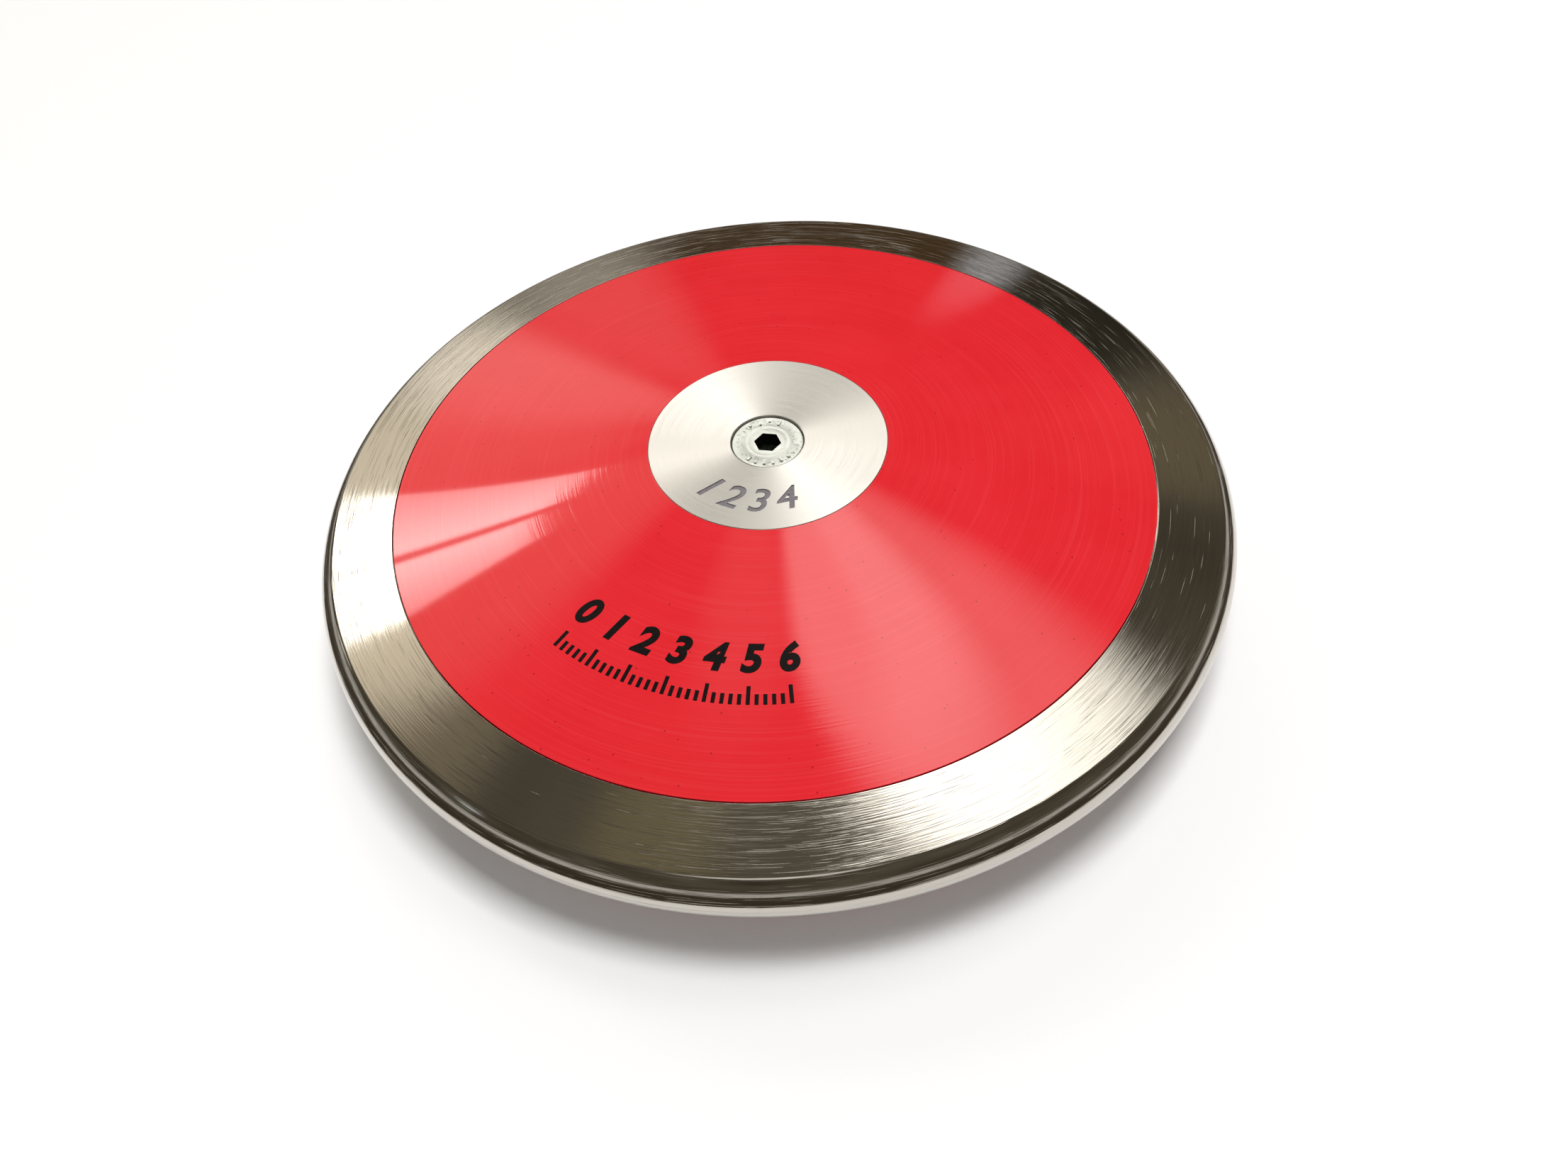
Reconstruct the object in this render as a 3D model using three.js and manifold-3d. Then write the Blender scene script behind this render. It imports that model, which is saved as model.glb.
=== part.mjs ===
// A throwing discus of the lightest class, as the separate pieces it is screwed together from:
// a steel rim, two moulded side plates, two centre plates, two screws, a core and trim washers.
// Millimetres, +Z up. The origin is the middle of the face that the discus rests on.

import * as THREE from "three";
import { mergeVertices } from "three/addons/utils/BufferGeometryUtils.js";
import Module from "manifold-3d";

const wasm = await Module();
wasm.setup();

// Outline of the whole discus
const discusDiameter = 156;
const discusThickness = 32;
const edgeRadius = 5.73; // rounding of the outer edge
const creaseAngle = THREE.MathUtils.degToRad(57.3); // round the edge, from its widest point to the bevel
const bevelWidth = 10.75; // of the rim's bevel, from the crease in to the side plate

// Rim, a turned steel ring with a channel inside that moves its weight outwards
const rimWall = 2; // over and under the channel
const rimEdgeWall = 3.5; // behind the outer edge
const shoulderWall = 2.2; // behind the shoulder that the side plate's edge meets
const ledgeWidth = 5; // the flat that a side plate lies on
const ledgeThickness = 1.8;

// Side plates, moulded shells with ribs inside
const plateWall = 2.4;
const seamGap = 0.2; // round the edge of a side plate
const spigotWall = 1.8; // the ring that centres a side plate inside the ledge
const spigotDepth = 2.4;
const spigotGap = 0.3;
const floorThickness = 3; // under the centre plate
const recessWall = 2.6; // round the centre plate
const bossWall = 3.7; // round the corners of the core's pocket
const ribWall = 1.4;
const ribSetback = 2; // from the ends of the boss and the spigot up to the ribs
const radialRibCount = 12;
const ringRibCount = 2;

// Centre plates, turned aluminium
const centrePlateDiameter = 40;
const plateUnderHead = 1; // left of a centre plate below the cone of the screw's head
const centrePlateChamfer = 0.4;
const centrePlateGap = 0.15; // round the edge of a centre plate

// Screws, countersunk with a hexagon socket
const screwDiameter = 6;
const tipSpacing = 7.4; // between the tips of the two screws, which makes each screw 12 long
const headDiameter = 12;
const headLand = 0.7; // the straight edge of the head above its 90 degree cone
const headChamfer = 0.25;
const tipChamfer = 0.8;
const socketAcrossFlats = 4;
const socketDepth = 2.6;
const socketTurn = THREE.MathUtils.degToRad(-13.5); // how the screws happened to stop
const sunkDepth = 0.3; // of the head below the centre plate's face
const mouthGap = 0.45; // round the head's straight edge
const coneGap = 0.15; // between the cone of the head and its seat, measured across
const screwHoleGap = 0.3; // round the shank in the centre plate

// Core, a tapped hexagon bar
const coreAcrossFlats = 14;
const coreEndGap = 0.3; // so that the screws clamp the side plates and not the core
const coreChamfer = 0.6; // at the mouths of the tapped hole
const threadGap = 0.15;
const pocketGap = 0.2; // between the core and the hexagon pocket in each boss

// Trim washers
const washerCount = 3;
const washerDiameter = 32;
const washerThickness = 2;
const washerGap = 0.4; // between the bore and the corners of the core

const overrun = 1; // how far a cutter runs past the face it ends in

// Steps round a full turn
const rimSegments = 72;
const plateSegments = 36;
const screwSegments = 24;
const edgeSegments = 5; // from the crease to the widest point

// Sizes worked out from the ones above; heights count from the middle plane of the discus
const outerRadius = discusDiameter / 2;
const halfThickness = discusThickness / 2;
const centrePlateRadius = centrePlateDiameter / 2;
const edgeCentre = outerRadius - edgeRadius;
const creaseRadius = edgeCentre + edgeRadius * Math.cos(creaseAngle);
const creaseHeight = edgeRadius * Math.sin(creaseAngle);
const seamRadius = creaseRadius - bevelWidth;
const taper = (halfThickness - creaseHeight) / (creaseRadius - centrePlateRadius);
const seatHeight = faceHeight(seamRadius) - plateWall;
const ledgeRadius = seamRadius - ledgeWidth;
const headConeDepth = (headDiameter - screwDiameter) / 2;
const recessFloor = halfThickness - sunkDepth - headLand - headConeDepth - plateUnderHead;
const bossEnd = (washerCount * washerThickness) / 2;
const coreEnd = recessFloor - coreEndGap;
const pocketWidth = coreAcrossFlats + 2 * pocketGap;

// One straight cone runs from the edge of the centre plate to the crease of the rim.
function faceHeight(radius) {
  return halfThickness - (radius - centrePlateRadius) * taper;
}

function cornerRadius(acrossFlats) {
  return acrossFlats / Math.sqrt(3);
}

// Turns an outline of [radius, height] pairs about Z. Seen with the radius to the right and the height
// up, the outline runs anticlockwise; it closes on itself unless it starts and ends on the axis.
function turned(outline, segments) {
  const points = outline.map(([radius, height]) => new THREE.Vector2(radius, height));
  if (outline[0][0] > 0) {
    points.push(points[0].clone());
  }
  return new THREE.LatheGeometry(points, segments).rotateX(Math.PI / 2);
}

function hexagon(acrossFlats) {
  const shape = new THREE.Shape();
  for (let corner = 0; corner < 6; corner += 1) {
    const angle = (corner * Math.PI) / 3;
    const x = cornerRadius(acrossFlats) * Math.cos(angle);
    const y = cornerRadius(acrossFlats) * Math.sin(angle);
    if (corner === 0) {
      shape.moveTo(x, y);
    } else {
      shape.lineTo(x, y);
    }
  }
  shape.closePath();
  return shape;
}

// A hexagon bar along Z between two heights
function hexagonBar(acrossFlats, bottom, top) {
  const settings = { depth: top - bottom, bevelEnabled: false };
  return new THREE.ExtrudeGeometry(hexagon(acrossFlats), settings).translate(0, 0, bottom);
}

function toSolid(geometry) {
  const bare = geometry.clone();
  bare.deleteAttribute("normal");
  bare.deleteAttribute("uv");
  const merged = mergeVertices(bare);
  const vertProperties = merged.getAttribute("position").array;
  const triVerts = new Uint32Array(merged.getIndex().array);
  return new wasm.Manifold(new wasm.Mesh({ numProp: 3, vertProperties, triVerts }));
}

function toGeometry(solid) {
  const mesh = solid.getMesh();
  const geometry = new THREE.BufferGeometry();
  geometry.setAttribute("position", new THREE.BufferAttribute(mesh.vertProperties, 3));
  geometry.setIndex(new THREE.BufferAttribute(mesh.triVerts, 1));
  geometry.computeVertexNormals();
  return geometry;
}

// Rim: the upper half of its section, from the widest point over the bevel and into the channel,
// then the same points mirrored below the middle plane
function rimGeometry() {
  const channelRadius = outerRadius - rimEdgeWall;
  const shoulderRadius = seamRadius + shoulderWall;
  const ledgeUnderside = seatHeight - ledgeThickness;
  const upper = [];
  for (let step = 1; step <= edgeSegments; step += 1) {
    const angle = (creaseAngle * step) / edgeSegments;
    upper.push([edgeCentre + edgeRadius * Math.cos(angle), edgeRadius * Math.sin(angle)]);
  }
  upper.push(
    [seamRadius, faceHeight(seamRadius)],
    [seamRadius, seatHeight],
    [ledgeRadius, seatHeight],
    [ledgeRadius, ledgeUnderside],
    [shoulderRadius, ledgeUnderside],
    [shoulderRadius, faceHeight(shoulderRadius) - rimWall],
    [channelRadius, faceHeight(channelRadius) - rimWall],
  );
  const lower = upper.map(([radius, height]) => [radius, -height]).reverse();
  return turned([[outerRadius, 0], ...upper, ...lower], rimSegments);
}

// Side plate, the upper one: a conical shell with a recess for the centre plate, a boss that reaches
// down to the washers, a spigot inside the rim's ledge, and a net of ribs between boss and spigot
function sidePlateGeometry() {
  const bossRadius = cornerRadius(pocketWidth) + bossWall;
  const plateRadius = seamRadius - seamGap;
  const recessRadius = centrePlateRadius + centrePlateGap;
  const recessOuter = recessRadius + recessWall;
  const floorUnderside = recessFloor - floorThickness;
  const spigotOuter = ledgeRadius - spigotGap;
  const spigotInner = spigotOuter - spigotWall;
  const spigotEnd = seatHeight - spigotDepth;
  const innerHeight = (radius) => faceHeight(radius) - plateWall;

  // The ribs end on one straight line from the boss to the spigot.
  const ribSlope = (bossEnd - spigotEnd) / (spigotInner - bossRadius);
  const ribHeight = (radius) => bossEnd + ribSetback - (radius - bossRadius) * ribSlope;

  const ringRibs = [];
  for (let ring = 1; ring <= ringRibCount; ring += 1) {
    const middle = recessOuter + ((spigotInner - recessOuter) * ring) / (ringRibCount + 1);
    const inside = middle - ribWall / 2;
    const outside = middle + ribWall / 2;
    ringRibs.push(
      [inside, innerHeight(inside)],
      [inside, ribHeight(middle)],
      [outside, ribHeight(middle)],
      [outside, innerHeight(outside)],
    );
  }
  const shell = turned(
    [
      [0, bossEnd],
      [bossRadius, bossEnd],
      [bossRadius, floorUnderside],
      [recessOuter, floorUnderside],
      [recessOuter, innerHeight(recessOuter)],
      ...ringRibs,
      [spigotInner, innerHeight(spigotInner)],
      [spigotInner, spigotEnd],
      [spigotOuter, spigotEnd],
      [spigotOuter, seatHeight],
      [plateRadius, seatHeight],
      [plateRadius, faceHeight(plateRadius)],
      [recessRadius, faceHeight(recessRadius)],
      [recessRadius, recessFloor],
      [0, recessFloor],
    ],
    rimSegments,
  );

  // Each radial rib is a thin upright web whose top edge runs inside the floor and the shell.
  const webInner = bossRadius - ribWall / 2;
  const webOuter = spigotInner + spigotWall / 2;
  const webStep = recessOuter - recessWall / 2;
  const web = new THREE.Shape([
    new THREE.Vector2(webInner, ribHeight(webInner)),
    new THREE.Vector2(webOuter, ribHeight(webOuter)),
    new THREE.Vector2(webOuter, faceHeight(webOuter) - plateWall / 2),
    new THREE.Vector2(webStep, faceHeight(webStep) - plateWall / 2),
    new THREE.Vector2(webStep, recessFloor - floorThickness / 2),
    new THREE.Vector2(webInner, recessFloor - floorThickness / 2),
  ]);
  let solid = toSolid(shell);
  for (let rib = 0; rib < radialRibCount; rib += 1) {
    const webGeometry = new THREE.ExtrudeGeometry(web, { depth: ribWall, bevelEnabled: false })
      .translate(0, 0, -ribWall / 2)
      .rotateX(Math.PI / 2)
      .rotateZ((2 * Math.PI * (rib + 0.5)) / radialRibCount);
    solid = solid.add(toSolid(webGeometry));
  }
  const pocket = hexagonBar(pocketWidth, bossEnd - overrun, recessFloor + overrun);
  return toGeometry(solid.subtract(toSolid(pocket)));
}

// Centre plate, the upper one: a disc with a chamfered edge and a countersunk hole
function centrePlateGeometry() {
  const mouthRadius = headDiameter / 2 + mouthGap;
  const holeRadius = screwDiameter / 2 + screwHoleGap;
  const coneTop = halfThickness - sunkDepth - headLand + mouthGap - coneGap;
  const coneBottom = coneTop - (mouthRadius - holeRadius);
  return turned(
    [
      [holeRadius, recessFloor],
      [centrePlateRadius, recessFloor],
      [centrePlateRadius, halfThickness - centrePlateChamfer],
      [centrePlateRadius - centrePlateChamfer, halfThickness],
      [mouthRadius, halfThickness],
      [mouthRadius, coneTop],
      [holeRadius, coneBottom],
    ],
    plateSegments,
  );
}

// Screw, the upper one, with its socket cut out of the head
function screwGeometry() {
  const headRadius = headDiameter / 2;
  const shankRadius = screwDiameter / 2;
  const headTop = halfThickness - sunkDepth;
  const coneTop = headTop - headLand;
  const tip = tipSpacing / 2;
  const blank = turned(
    [
      [0, tip],
      [shankRadius - tipChamfer, tip],
      [shankRadius, tip + tipChamfer],
      [shankRadius, coneTop - headConeDepth],
      [headRadius, coneTop],
      [headRadius, headTop - headChamfer],
      [headRadius - headChamfer, headTop],
      [0, headTop],
    ],
    screwSegments,
  );
  const socket = hexagonBar(socketAcrossFlats, headTop - socketDepth, headTop + overrun);
  return toGeometry(toSolid(blank).subtract(toSolid(socket.rotateZ(socketTurn))));
}

// Core: a hexagon bar with one tapped hole right through, chamfered at both mouths
function coreGeometry() {
  const holeRadius = screwDiameter / 2 + threadGap;
  const cutter = turned(
    [
      [0, -coreEnd - overrun],
      [holeRadius + coreChamfer + overrun, -coreEnd - overrun],
      [holeRadius, -coreEnd + coreChamfer],
      [holeRadius, coreEnd - coreChamfer],
      [holeRadius + coreChamfer + overrun, coreEnd + overrun],
      [0, coreEnd + overrun],
    ],
    screwSegments,
  );
  const bar = hexagonBar(coreAcrossFlats, -coreEnd, coreEnd);
  return toGeometry(toSolid(bar).subtract(toSolid(cutter)));
}

// Trim washer number index, counted from the bottom of the stack
function washerGeometry(index) {
  const bottom = index * washerThickness - bossEnd;
  const top = bottom + washerThickness;
  const bore = cornerRadius(coreAcrossFlats) + washerGap;
  const radius = washerDiameter / 2;
  const section = [
    [bore, bottom],
    [radius, bottom],
    [radius, top],
    [bore, top],
  ];
  return turned(section, plateSegments);
}

const finishes = {
  polishedSteel: { color: 0x8f8a80, roughness: 0.22, metalness: 1 },
  redAbs: { color: 0xec2c37, roughness: 0.28, metalness: 0 },
  turnedAluminium: { color: 0xe4e0d8, roughness: 0.35, metalness: 1 },
  zincPlatedSteel: { color: 0xd6dad6, roughness: 0.4, metalness: 1 },
  plainSteel: { color: 0x6f6f6c, roughness: 0.5, metalness: 1 },
};

function piece(name, geometry, finish) {
  const mesh = new THREE.Mesh(geometry, new THREE.MeshStandardMaterial(finish));
  mesh.name = name;
  return mesh;
}

// One side of the discus: a side plate, its centre plate and the screw
function side(name) {
  const group = new THREE.Group();
  group.add(
    piece(`${name}_side_plate`, sidePlateGeometry(), finishes.redAbs),
    piece(`${name}_centre_plate`, centrePlateGeometry(), finishes.turnedAluminium),
    piece(`${name}_screw`, screwGeometry(), finishes.zincPlatedSteel),
  );
  return group;
}

const discus = new THREE.Group();
const topSide = side("top");
const bottomSide = side("bottom");
bottomSide.rotation.x = Math.PI; // the same side, turned over
discus.add(topSide, bottomSide);
discus.add(piece("rim", rimGeometry(), finishes.polishedSteel));
discus.add(piece("core", coreGeometry(), finishes.plainSteel));
for (let index = 0; index < washerCount; index += 1) {
  discus.add(piece(`trim_washer_${index + 1}`, washerGeometry(index), finishes.plainSteel));
}
discus.position.z = halfThickness;

const part = new THREE.Group();
part.add(discus);

export default part;
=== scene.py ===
# A throwing discus lying on a white sheet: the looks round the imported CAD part, in its own frame.
# Lengths in the dictionaries are millimetres. Heights count from the discus's middle plane.
from functools import partial
from math import ceil, cos, degrees, hypot, pi, radians, sin, sqrt, tan

import bmesh
import bpy
from mathutils import Matrix, Vector


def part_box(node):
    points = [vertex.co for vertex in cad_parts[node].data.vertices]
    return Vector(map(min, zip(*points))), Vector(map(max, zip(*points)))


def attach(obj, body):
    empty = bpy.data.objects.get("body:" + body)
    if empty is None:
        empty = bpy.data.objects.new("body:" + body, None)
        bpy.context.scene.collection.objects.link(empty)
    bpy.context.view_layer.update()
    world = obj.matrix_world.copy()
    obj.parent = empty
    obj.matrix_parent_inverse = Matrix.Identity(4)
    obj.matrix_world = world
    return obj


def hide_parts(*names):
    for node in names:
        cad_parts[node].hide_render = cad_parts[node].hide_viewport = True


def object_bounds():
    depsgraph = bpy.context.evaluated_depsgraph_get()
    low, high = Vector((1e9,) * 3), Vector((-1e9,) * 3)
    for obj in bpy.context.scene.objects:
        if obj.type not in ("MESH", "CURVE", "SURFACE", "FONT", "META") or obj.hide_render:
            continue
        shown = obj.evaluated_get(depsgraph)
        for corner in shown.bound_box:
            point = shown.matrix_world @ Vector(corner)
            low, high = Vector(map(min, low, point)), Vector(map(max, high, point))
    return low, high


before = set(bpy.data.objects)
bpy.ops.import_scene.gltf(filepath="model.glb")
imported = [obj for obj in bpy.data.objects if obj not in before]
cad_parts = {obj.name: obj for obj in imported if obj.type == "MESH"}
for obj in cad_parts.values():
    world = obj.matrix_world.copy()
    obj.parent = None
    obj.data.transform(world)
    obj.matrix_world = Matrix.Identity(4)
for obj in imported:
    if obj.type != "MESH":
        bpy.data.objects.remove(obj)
cadLow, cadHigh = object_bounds()
scene = bpy.context.scene
mm = 0.001


def boxMm(node):
    low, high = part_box(node)
    return low / mm, high / mm


# What the CAD part already says
middle = (cadLow.z + cadHigh.z) / 2 / mm
halfThickness = (cadHigh.z - cadLow.z) / 2 / mm
outerRadius = boxMm("rim")[1].x
plateRadius = boxMm("top_side_plate")[1].x
bossEnd = boxMm("top_side_plate")[0].z - middle
centrePlateRadius = boxMm("top_centre_plate")[1].x
recessFloor = boxMm("top_centre_plate")[0].z - middle
headRadius = boxMm("top_screw")[1].x
headTop = boxMm("top_screw")[1].z - middle
screwTip = boxMm("top_screw")[0].z - middle

rim = {
    "edgeRadius": 5.73,  # rounding of the outer edge
    "creaseAngle": 57.3,  # degrees round that edge, up to the bevel
    "bevelWidth": 10.75,
    "edgeWall": 3.5,
    "wall": 2,
    "shoulderWall": 2.2,
    "ledgeWidth": 5,
    "ledgeThickness": 1.8,
    "seamRound": 0.05,
    "creaseRound": 1.0,
    "edgeSteps": 28,
    "steps": 720,
}
plate = {
    "wall": 2.4,
    "edgeRound": 0.05,
    "recessRound": 0.06,
    "recessGap": 0.03,
    "recessWall": 2.6,
    "floorThickness": 3,
    "pocketWidth": 14.4,
    "bossWall": 3.7,
    "spigotWall": 1.8,
    "spigotDepth": 2.4,
    "spigotGap": 0.3,
    "ribWall": 1.4,
    "ribSetback": 2,
    "radialRibs": 12,
    "ringRibs": 2,
    "steps": 720,
}
edgeCentre = outerRadius - rim["edgeRadius"]
creaseAngle = radians(rim["creaseAngle"])
creaseRadius = edgeCentre + rim["edgeRadius"] * cos(creaseAngle)
creaseHeight = rim["edgeRadius"] * sin(creaseAngle)
seamRadius = creaseRadius - rim["bevelWidth"]
taper = (halfThickness - creaseHeight) / (creaseRadius - centrePlateRadius)


def faceHeight(radius):
    return halfThickness - (radius - centrePlateRadius) * taper


seatHeight = faceHeight(seamRadius) - plate["wall"]
ledgeRadius = seamRadius - rim["ledgeWidth"]


def setInputs(node, inputs):
    # Each value is a node, whose first output is linked, a socket to link, or a plain value
    links = node.id_data.links
    for name, value in inputs.items():
        socket = node.inputs[name]
        if isinstance(value, bpy.types.Node):
            links.new(value.outputs[0], socket)
        elif isinstance(value, bpy.types.NodeSocket):
            links.new(value, socket)
        else:
            socket.default_value = value


def addNode(tree, kind, inputs=None, **settings):
    made = tree.nodes.new(kind)
    for name, value in settings.items():
        setattr(made, name, value)
    setInputs(made, inputs or {})
    return made


def addObject(name, data):
    made = bpy.data.objects.new(name, data)
    scene.collection.objects.link(made)
    return made


def newTree(name, sockets):
    # A Geometry Nodes tree from geometry to geometry, with these inputs by kind and one for the material
    tree = bpy.data.node_groups.new(name, "GeometryNodeTree")
    tree.interface.new_socket("Geometry", in_out="OUTPUT", socket_type="NodeSocketGeometry")
    for kind, labels in {"Geometry": ("Geometry",), **sockets, "Material": ("Material",)}.items():
        for label in labels:
            tree.interface.new_socket(label, in_out="INPUT", socket_type=f"NodeSocket{kind}")
    return partial(addNode, tree), addNode(tree, "NodeGroupInput")


def endTree(add, entry, geometry):
    realized = add("GeometryNodeRealizeInstances", {"Geometry": geometry})
    material = entry.outputs["Material"]
    painted = add("GeometryNodeSetMaterial", {"Geometry": realized, "Material": material})
    return add("NodeGroupOutput", {"Geometry": painted}).id_data


doublesWithin = 1e-7  # metres
sharpFrom = radians(32)


def closeMesh(mesh):
    # Merges doubles, turns the faces outwards and marks the corners that stay sharp
    shell = bmesh.new()
    shell.from_mesh(mesh)
    bmesh.ops.remove_doubles(shell, verts=shell.verts, dist=doublesWithin)
    bmesh.ops.recalc_face_normals(shell, faces=shell.faces)
    shell.to_mesh(mesh)
    shell.free()
    mesh.shade_smooth()
    mesh.set_sharp_from_angle(angle=sharpFrom)


def finalMesh(piece):
    return bpy.data.meshes.new_from_object(piece.evaluated_get(bpy.context.evaluated_depsgraph_get()))


def keepResult(piece, modifier):
    # Makes the modifier's result the piece's own closed mesh
    result = finalMesh(piece)
    piece.modifiers.remove(modifier)
    piece.data = result
    closeMesh(result)


def runTree(name, tree, mesh, values):
    # Runs a tree on a mesh and keeps the result on an object of that name
    carrier = addObject(name, mesh)
    modifier = carrier.modifiers.new("shape", "NODES")
    modifier.node_group = tree
    for item in tree.interface.items_tree:
        if item.item_type == "SOCKET" and item.in_out == "INPUT" and item.name in values:
            modifier[item.identifier] = values[item.name]
    keepResult(carrier, modifier)
    return carrier


def combine(target, tool, operation):
    # Adds one closed mesh to another, or cuts it out, and throws the tool away
    modifier = target.modifiers.new("combine", "BOOLEAN")
    modifier.operation = operation
    modifier.solver = "MANIFOLD"
    modifier.object = tool
    keepResult(target, modifier)
    bpy.data.objects.remove(tool)


filletSteps = {"least": 3, "degrees": 12}
shoulder = 0.05  # from the end of a fillet to the point that keeps the smooth shading on its arc


def filleted(corners):
    # Rounds each corner (radius, height, fillet) of a closed outline
    points = []
    for index, (radius, height, fillet) in enumerate(corners):
        here = Vector((radius, height))
        if not fillet:
            points.append(here)
            continue
        before = (Vector(corners[index - 1][:2]) - here).normalized()
        after = (Vector(corners[(index + 1) % len(corners)][:2]) - here).normalized()
        half = before.angle(after) / 2
        tangent = fillet / tan(half)
        centre = here + (before + after).normalized() * fillet / sin(half)
        start = (here + before * tangent - centre).normalized()
        end = (here + after * tangent - centre).normalized()
        needed = (pi - 2 * half) / radians(filletSteps["degrees"])
        steps = max(filletSteps["least"], ceil(needed))
        points.append(here + before * (tangent + shoulder))
        for step in range(steps + 1):
            points.append(centre + start.slerp(end, step / steps) * fillet)
        points.append(here + after * (tangent + shoulder))
    return points


overrun = 1  # a cutter stands out by this much


def cornerRadius(acrossFlats):
    return acrossFlats / sqrt(3)


def objectFrom(name, shell):
    bmesh.ops.recalc_face_normals(shell, faces=shell.faces)
    mesh = bpy.data.meshes.new(name)
    shell.to_mesh(mesh)
    shell.free()
    return addObject(name, mesh)


def prism(name, lower, upper):
    # A closed solid between two outlines with the same number of corners, in mm
    shell = bmesh.new()
    ends = [[shell.verts.new(Vector(corner) * mm) for corner in outline] for outline in (lower, upper)]
    shell.faces.new(ends[0][::-1])
    shell.faces.new(ends[1])
    for i in range(len(lower)):
        j = (i + 1) % len(lower)
        shell.faces.new((ends[0][i], ends[0][j], ends[1][j], ends[1][i]))
    return objectFrom(name, shell)


def hexagonBar(name, acrossFlats, bottom, top, turn=0):
    corners = []
    radius = cornerRadius(acrossFlats)
    for corner in range(6):
        angle = turn + corner * pi / 3
        corners.append((radius * cos(angle), radius * sin(angle)))
    return prism(name, [(x, y, bottom) for x, y in corners], [(x, y, top) for x, y in corners])


clearance, justBelow = 1, 0.02  # from a cut's faces to the others beside it, and to those at the top


def finishCut(piece, material, radii, heights):
    # Another finish for the faces in a cut: those with their middle between these radii and these heights
    piece.data.materials.append(material)
    for face in piece.data.polygons:
        inRing = radii[0] <= face.center.xy.length / mm < radii[1]
        if inRing and heights[0] < face.center.z / mm < heights[1]:
            face.material_index = len(piece.data.materials) - 1


def place(piece, slot, *nodes, turnedOver=False):
    # Moves the mesh to its height, turned over for the lower side, and hands it to the frame
    lift = Matrix.Translation((0, 0, middle * mm))
    if turnedOver:
        lift = lift @ Matrix.Rotation(pi, 4, "X")
    piece.data.transform(lift)
    piece.data.update()
    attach(piece, "root")
    if nodes:
        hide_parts(*nodes)


def copyOf(piece, name):
    return addObject(name, piece.data.copy())


# A turned piece: its outline is swept round the axis. "along" keeps the distance travelled on the outline.
def turnedTree():
    add, entry = newTree("turned_piece", {"Int": ("Steps",)})
    sweepRadius = 0.05  # metres; any circle will do
    outline = add("GeometryNodeMeshToCurve", {"Mesh": entry.outputs["Geometry"]})
    travelled = add("GeometryNodeSplineParameter")
    kept = {"Geometry": outline, "Name": "along", "Value": travelled.outputs["Length"]}
    measured = add("GeometryNodeStoreNamedAttribute", kept)
    # Curve to Mesh lays a profile's X outwards and its Y downwards.
    position = add("GeometryNodeInputPosition")
    parts = add("ShaderNodeSeparateXYZ", {0: position})
    outwards = add("ShaderNodeMath", {0: parts.outputs["X"], 1: sweepRadius}, operation="SUBTRACT")
    downwards = add("ShaderNodeMath", {0: parts.outputs["Z"], 1: -1}, operation="MULTIPLY")
    flat = add("ShaderNodeCombineXYZ", {"X": outwards, "Y": downwards})
    profile = add("GeometryNodeSetPosition", {"Geometry": measured, "Position": flat})
    around = {"Resolution": entry.outputs["Steps"], "Radius": sweepRadius}
    circle = add("GeometryNodeCurvePrimitiveCircle", around)
    swept = add("GeometryNodeCurveToMesh", {"Curve": circle, "Profile Curve": profile})
    merged = add("GeometryNodeMergeByDistance", {"Geometry": swept, "Distance": doublesWithin})
    return endTree(add, entry, merged)


# Ribs round the axis, joined with the shell of a side plate
def ribbedTree():
    add, entry = newTree("ribbed_moulding", {"Object": ("Rib",), "Int": ("Ribs",)})
    spots = add("GeometryNodeMeshLine", {"Count": entry.outputs["Ribs"], "Offset": (0, 0, 0)})
    index = add("GeometryNodeInputIndex")
    shifted = add("ShaderNodeMath", {0: index, 1: 0.5}, operation="ADD")
    share = add("ShaderNodeMath", {0: shifted, 1: entry.outputs["Ribs"]}, operation="DIVIDE")
    angle = add("ShaderNodeMath", {0: share, 1: 2 * pi}, operation="MULTIPLY")
    turn = add("ShaderNodeCombineXYZ", {"Z": angle})
    rib = add("GeometryNodeObjectInfo", {"Object": entry.outputs["Rib"]})
    copies = {"Points": spots, "Instance": rib.outputs["Geometry"], "Rotation": turn}
    ribs = add("GeometryNodeInstanceOnPoints", copies)
    solid = add("GeometryNodeRealizeInstances", {"Geometry": ribs})
    joined = add("GeometryNodeMeshBoolean", operation="UNION", solver="MANIFOLD")
    for part in (entry.outputs["Geometry"], solid):
        setInputs(joined, {"Mesh 2": part})
    return endTree(add, entry, joined)


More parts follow.
